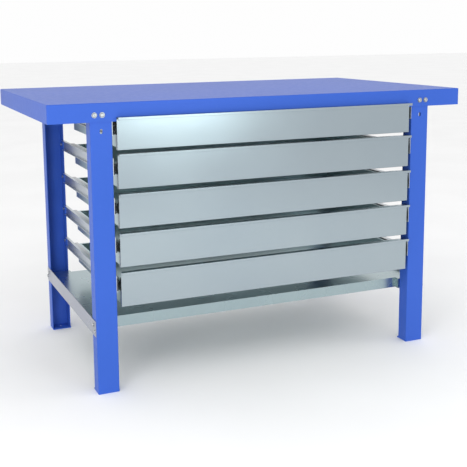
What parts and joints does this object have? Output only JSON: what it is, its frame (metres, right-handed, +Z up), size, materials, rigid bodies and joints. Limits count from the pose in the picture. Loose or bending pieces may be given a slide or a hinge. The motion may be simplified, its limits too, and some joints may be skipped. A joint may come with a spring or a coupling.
{
  "type": "workbench with drawers",
  "caption": "Blue steel workbench with a folded top, channel legs, galvanised full-width drawers on telescopic slides and a low shelf.",
  "frame": {"origin": "on the floor, under the middle of the bench's footprint seen from above", "axes": "+X to the user's right when facing the drawers, +Y from the drawer fronts to the back, +Z up from the floor"},
  "size_m": [1.4, 0.8202, 0.87],
  "materials": {
    "blue_paint": "semi-gloss",
    "galvanised": "satin",
    "slide_steel": "satin",
    "zinc_fasteners": "satin",
    "black_plastic": "matte",
    "core_board": "matte"
  },
  "bodies": {
    "bench": {"drawer_rail_left_1": "galvanised", "drawer_rail_left_2": "galvanised", "drawer_rail_left_3": "galvanised", "drawer_rail_left_4": "galvanised", "drawer_rail_left_5": "galvanised", "drawer_rail_right_1": "galvanised", "drawer_rail_right_2": "galvanised", "drawer_rail_right_3": "galvanised", "drawer_rail_right_4": "galvanised", "drawer_rail_right_5": "galvanised", "edge_bolts": "zinc_fasteners", "foot_plate_front_left": "blue_paint", "foot_plate_front_right": "blue_paint", "foot_plate_rear_left": "blue_paint", "foot_plate_rear_right": "blue_paint", "leg_front_left": "blue_paint", "leg_front_right": "blue_paint", "leg_rear_left": "blue_paint", "leg_rear_right": "blue_paint", "m6_bolts": "zinc_fasteners", "nuts": "zinc_fasteners", "shelf_rail_left": "galvanised", "shelf_rail_right": "galvanised", "shelf_stiffener": "galvanised", "shelf_tray": "galvanised", "slide_outer_1": "slide_steel", "slide_outer_2": "slide_steel", "slide_outer_3": "slide_steel", "slide_outer_4": "slide_steel", "slide_outer_5": "slide_steel", "top_bearer_left": "galvanised", "top_bearer_right": "galvanised", "top_core_board": "core_board", "top_pan": "blue_paint", "top_screws": "zinc_fasteners"},
    "drawer_1": {"drawer_front_1": "galvanised", "drawer_tray_1": "galvanised", "slide_inner_1": "slide_steel", "slide_buffer_1": "black_plastic"},
    "slide_middle_1_pair": {"slide_middle_1": "slide_steel"},
    "drawer_2": {"drawer_front_2": "galvanised", "drawer_tray_2": "galvanised", "slide_inner_2": "slide_steel", "slide_buffer_2": "black_plastic"},
    "slide_middle_2_pair": {"slide_middle_2": "slide_steel"},
    "drawer_3": {"drawer_front_3": "galvanised", "drawer_tray_3": "galvanised", "slide_inner_3": "slide_steel", "slide_buffer_3": "black_plastic"},
    "slide_middle_3_pair": {"slide_middle_3": "slide_steel"},
    "drawer_4": {"drawer_front_4": "galvanised", "drawer_tray_4": "galvanised", "slide_inner_4": "slide_steel", "slide_buffer_4": "black_plastic"},
    "slide_middle_4_pair": {"slide_middle_4": "slide_steel"},
    "drawer_5": {"drawer_front_5": "galvanised", "drawer_tray_5": "galvanised", "slide_inner_5": "slide_steel", "slide_buffer_5": "black_plastic"},
    "slide_middle_5_pair": {"slide_middle_5": "slide_steel"}
  },
  "joints": [
    {"name": "drawer_1_slide", "type": "slide", "parent": "bench", "child": "drawer_1", "axis": [0, -1, 0], "range_m": [0, 0.48]},
    {"name": "slide_middle_1_travel", "type": "slide", "parent": "bench", "child": "slide_middle_1_pair", "axis": [0, -1, 0], "range_m": [0, 0.24]},
    {"name": "drawer_2_slide", "type": "slide", "parent": "bench", "child": "drawer_2", "axis": [0, -1, 0], "range_m": [0, 0.48]},
    {"name": "slide_middle_2_travel", "type": "slide", "parent": "bench", "child": "slide_middle_2_pair", "axis": [0, -1, 0], "range_m": [0, 0.24]},
    {"name": "drawer_3_slide", "type": "slide", "parent": "bench", "child": "drawer_3", "axis": [0, -1, 0], "range_m": [0, 0.48]},
    {"name": "slide_middle_3_travel", "type": "slide", "parent": "bench", "child": "slide_middle_3_pair", "axis": [0, -1, 0], "range_m": [0, 0.24]},
    {"name": "drawer_4_slide", "type": "slide", "parent": "bench", "child": "drawer_4", "axis": [0, -1, 0], "range_m": [0, 0.48]},
    {"name": "slide_middle_4_travel", "type": "slide", "parent": "bench", "child": "slide_middle_4_pair", "axis": [0, -1, 0], "range_m": [0, 0.24]},
    {"name": "drawer_5_slide", "type": "slide", "parent": "bench", "child": "drawer_5", "axis": [0, -1, 0], "range_m": [0, 0.48]},
    {"name": "slide_middle_5_travel", "type": "slide", "parent": "bench", "child": "slide_middle_5_pair", "axis": [0, -1, 0], "range_m": [0, 0.24]}
  ],
  "couplings": [
    {"joint": "slide_middle_1_travel", "follows": "drawer_1_slide", "ratio": 0.5},
    {"joint": "slide_middle_2_travel", "follows": "drawer_2_slide", "ratio": 0.5},
    {"joint": "slide_middle_3_travel", "follows": "drawer_3_slide", "ratio": 0.5},
    {"joint": "slide_middle_4_travel", "follows": "drawer_4_slide", "ratio": 0.5},
    {"joint": "slide_middle_5_travel", "follows": "drawer_5_slide", "ratio": 0.5}
  ]
}
